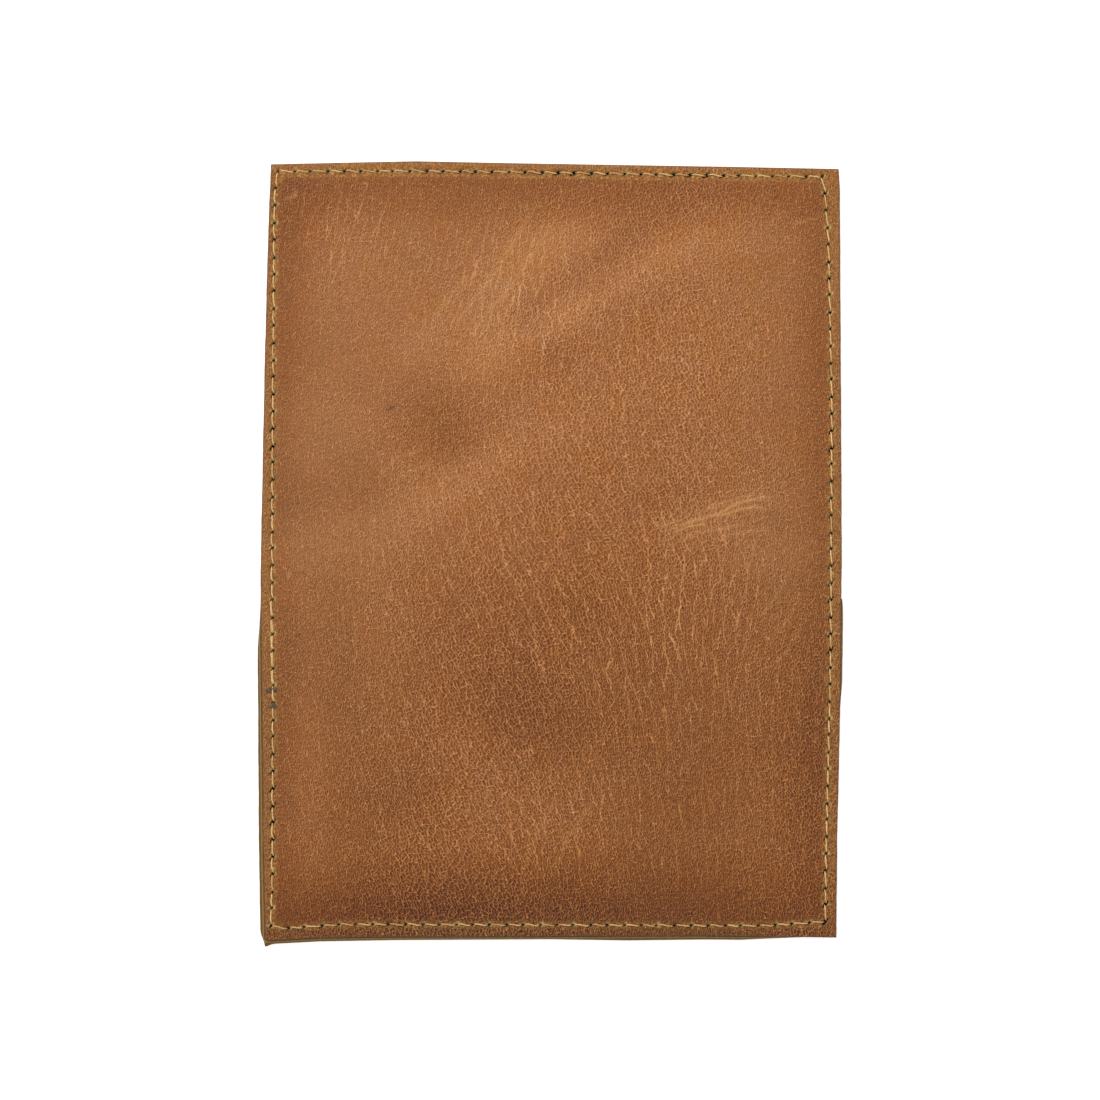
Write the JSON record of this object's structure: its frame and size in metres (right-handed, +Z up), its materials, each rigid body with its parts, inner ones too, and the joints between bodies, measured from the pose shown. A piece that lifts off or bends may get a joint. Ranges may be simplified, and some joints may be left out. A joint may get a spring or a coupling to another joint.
{
  "type": "leather notebook cover",
  "caption": "Soft leather cover that folds at a flat spine, with a sewn pocket inside each half for a pocket notebook's boards and a seam round all four edges.",
  "frame": {"origin": "middle of the open cover's underside, on the surface it lies on", "axes": "+X along the spine, +Y across the spine towards the front half's fore-edge, +Z up out of the outer face"},
  "size_m": [0.15, 0.202, 0.003],
  "materials": {
    "outer_leather": "waxed pull-up leather, fine pebble grain, satin, smooth side out",
    "pocket_leather": "the same hide, smooth side towards the notebook user, raw ochre cut edges",
    "thread": "twisted polyester sewing thread, cream",
    "melted_thread": "heat-sealed thread, dull dark brown"
  },
  "bodies": {
    "back_cover": {"back_shell": "outer_leather", "back_pocket": "pocket_leather", "back_needle_thread": "thread", "back_bobbin_thread": "thread", "overlap_thread": "thread", "thread_ends": "melted_thread"},
    "spine": {"spine_shell": "outer_leather", "spine_needle_thread": "thread", "spine_bobbin_thread": "thread"},
    "front_cover": {"front_shell": "outer_leather", "front_pocket": "pocket_leather", "front_needle_thread": "thread", "front_bobbin_thread": "thread"}
  },
  "joints": [
    {"name": "back_fold", "type": "hinge", "parent": "back_cover", "child": "spine", "pos_m": [0, -0.0067, 0.0012], "axis": [-1, 0, 0], "range_deg": [0, 90]},
    {"name": "front_fold", "type": "hinge", "parent": "spine", "child": "front_cover", "pos_m": [0, 0.0067, 0.0012], "axis": [-1, 0, 0], "range_deg": [0, 90]}
  ],
  "couplings": [
    {"joint": "front_fold", "follows": "back_fold", "ratio": 1}
  ]
}
